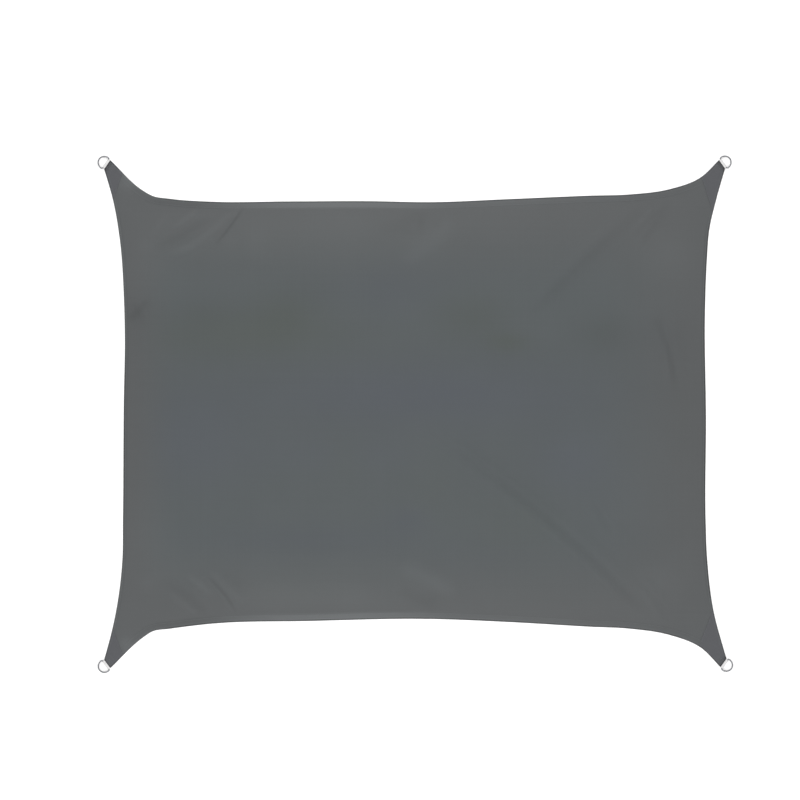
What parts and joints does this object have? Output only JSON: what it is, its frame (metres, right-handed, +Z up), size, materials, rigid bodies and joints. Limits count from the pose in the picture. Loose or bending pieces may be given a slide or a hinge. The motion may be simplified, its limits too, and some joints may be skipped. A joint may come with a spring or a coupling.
{
  "type": "shade sail",
  "caption": "Rectangular grey fabric shade sail with inward-curved hemmed edges, laid out flat, with a webbing loop and a steel D ring at each corner tip.",
  "frame": {"origin": "on the ground, at the middle of the sail laid out flat", "axes": "+X along the long sides, +Y along the short sides, +Z up from the ground"},
  "size_m": [5.0828, 4.1384, 0.0136],
  "materials": {
    "polyester_cloth": "matte woven polyester, dark grey",
    "reinforcing_cloth": "the same cloth doubled, a shade darker",
    "webbing": "woven strap, light grey, slightly silky",
    "polished_steel": "polished stainless steel wire"
  },
  "bodies": {
    "root": {"sail_cloth": "polyester_cloth", "corner_patch_top_left": "reinforcing_cloth", "corner_patch_top_right": "reinforcing_cloth", "corner_patch_bottom_left": "reinforcing_cloth", "corner_patch_bottom_right": "reinforcing_cloth", "webbing_loop_top_left": "webbing", "webbing_loop_top_right": "webbing", "webbing_loop_bottom_left": "webbing", "webbing_loop_bottom_right": "webbing", "d_ring_top_left": "polished_steel", "d_ring_top_right": "polished_steel", "d_ring_bottom_left": "polished_steel", "d_ring_bottom_right": "polished_steel"}
  },
  "joints": []
}
